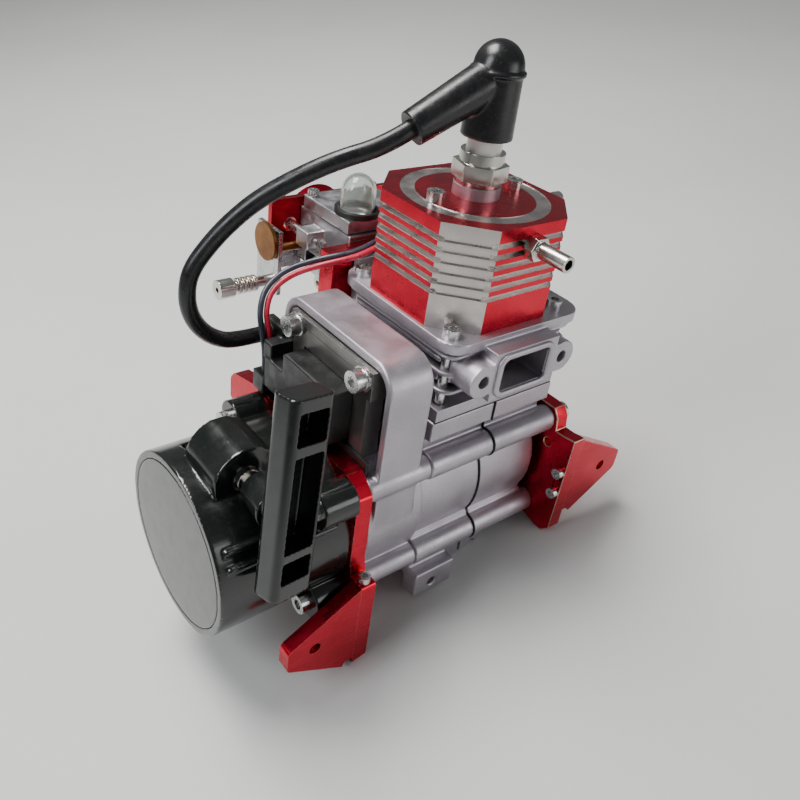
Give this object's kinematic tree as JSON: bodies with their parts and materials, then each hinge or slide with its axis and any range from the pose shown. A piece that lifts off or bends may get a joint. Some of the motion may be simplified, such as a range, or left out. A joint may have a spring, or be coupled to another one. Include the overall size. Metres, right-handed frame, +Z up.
{
  "type": "marine model engine",
  "caption": "Water-cooled two-stroke petrol engine for model boats with a spark plug, diaphragm carburettor, coil ignition, rope pull start and plate mounts with legs.",
  "frame": {"origin": "on the crankshaft's axis in the outer face of the front mounting plate, where the output journal starts", "axes": "+X along the crankshaft towards the output end, +Y towards the carburettor, +Z up the cylinder"},
  "size_m": [0.204, 0.1554, 0.2336],
  "materials": {
    "cast_aluminium": "bead-blasted casting with a warm grey, slightly lilac tone",
    "red_anodised": "machined and anodised bright red, cut edges bright",
    "zinc_steel": "bright zinc-plated",
    "bearing_steel": "ground",
    "forged_steel": "machined",
    "nickel": "nickel-plated brass",
    "black_plastic": "moulded, glossy",
    "black_matt_plastic": "moulded, semi-matt",
    "black_rubber": "semi-gloss rubber",
    "wire_black": "PVC insulation",
    "wire_red": "PVC insulation",
    "paper_gasket": "gasket paper",
    "ceramic": "glazed porcelain",
    "clear_plastic": "clear flexible dome",
    "carb_zinc": "die-cast zinc alloy",
    "magnet": "ferrite magnet",
    "rope": "braided nylon",
    "laminations": "stacked steel sheets",
    "brass": "tarnished brass"
  },
  "bodies": {
    "engine": {"crankcase_rear": "cast_aluminium", "crankcase_front": "cast_aluminium", "bearing_outer_races": "bearing_steel", "oil_seals": "black_rubber", "cylinder": "cast_aluminium", "water_head": "red_anodised", "head_button": "cast_aluminium", "plug_shell": "nickel", "plug_insulator": "ceramic", "plug_cap": "black_rubber", "ignition_lead": "black_rubber", "kill_wire_black": "wire_black", "kill_wire_red": "wire_red", "wire_connectors": "nickel", "magneto_housing": "cast_aluminium", "magneto_cover": "black_matt_plastic", "coil_core": "laminations", "ignition_coil": "black_matt_plastic", "rear_mount_plate": "red_anodised", "front_mount_plate": "red_anodised", "rear_legs": "red_anodised", "front_legs": "red_anodised", "starter_housing": "black_plastic", "starter_lid": "black_plastic", "rope_guide": "nickel", "recoil_spring": "forged_steel", "insulator_block": "red_anodised", "carb_body": "carb_zinc", "metering_cover": "carb_zinc", "pump_cover": "carb_zinc", "bulb_retainer": "black_matt_plastic", "cable_bracket": "zinc_steel", "air_horn": "red_anodised", "gaskets": "paper_gasket", "hose_nipples": "nickel", "m5_bolts": "zinc_steel", "m4_screws": "zinc_steel", "m3_screws": "zinc_steel"},
    "crank": {"crankshaft_front": "forged_steel", "crankshaft_rear": "forged_steel", "bearing_inner_races": "bearing_steel", "flywheel": "cast_aluminium", "flywheel_magnets": "magnet", "starter_cup": "zinc_steel", "flywheel_nut": "zinc_steel"},
    "piston": {"piston": "cast_aluminium", "piston_rings": "forged_steel", "wrist_pin": "bearing_steel"},
    "rod": {"connecting_rod": "forged_steel", "crank_pin": "bearing_steel"},
    "drum": {"starter_drum": "black_matt_plastic", "drum_rope": "rope"},
    "handle": {"pull_handle": "black_plastic", "handle_rope": "rope"},
    "throttle": {"throttle_lever": "zinc_steel"},
    "choke": {"choke_lever": "brass"},
    "primer": {"primer_bulb": "clear_plastic"},
    "idle": {"idle_screw": "zinc_steel"},
    "adjuster": {"cable_adjuster": "nickel"}
  },
  "joints": [
    {"name": "crank_spin", "type": "hinge", "parent": "engine", "child": "crank", "pos_m": [-0.045, 0, 0], "axis": [1, 0, 0], "continuous": true},
    {"name": "piston_slide", "type": "slide", "parent": "engine", "child": "piston", "axis": [0, 0, 1], "range_m": [-0.028, 0]},
    {"name": "rod_swing", "type": "hinge", "parent": "piston", "child": "rod", "pos_m": [-0.045, 0, 0.066], "axis": [1, 0, 0], "range_deg": [-15.5, 15.5]},
    {"name": "rope_pull", "type": "slide", "parent": "engine", "child": "handle", "axis": [0, -1, 0], "range_m": [0, 0.6], "stiffness_N_per_m": 8, "springref_m": -0.5},
    {"name": "drum_spin", "type": "hinge", "parent": "engine", "child": "drum", "pos_m": [-0.045, 0, 0], "axis": [1, 0, 0], "range_deg": [0, 1410]},
    {"name": "throttle_turn", "type": "hinge", "parent": "engine", "child": "throttle", "pos_m": [-0.048, 0.06, 0.0729], "axis": [1, 0, 0], "range_deg": [0, 75], "stiffness_Nm_per_rad": 0.02, "springref_deg": -28.65},
    {"name": "choke_turn", "type": "hinge", "parent": "engine", "child": "choke", "pos_m": [-0.048, 0.078, 0.0729], "axis": [1, 0, 0], "range_deg": [0, 75]},
    {"name": "primer_press", "type": "slide", "parent": "engine", "child": "primer", "axis": [0, 0, -1], "range_m": [0, 0.007], "stiffness_N_per_m": 400, "deforming": ["primer_bulb"]},
    {"name": "idle_screw_turn", "type": "hinge", "parent": "engine", "child": "idle", "pos_m": [-0.072, 0.076, 0.0795], "axis": [0, 1, 0], "range_deg": [-360, 360]},
    {"name": "adjuster_turn", "type": "hinge", "parent": "engine", "child": "adjuster", "pos_m": [-0.1, 0.0745, 0.06], "axis": [1, 0, 0], "range_deg": [-720, 720]}
  ],
  "couplings": [
    {"joint": "drum_spin", "follows": "rope_pull", "rad_per_m": 40.8}
  ]
}
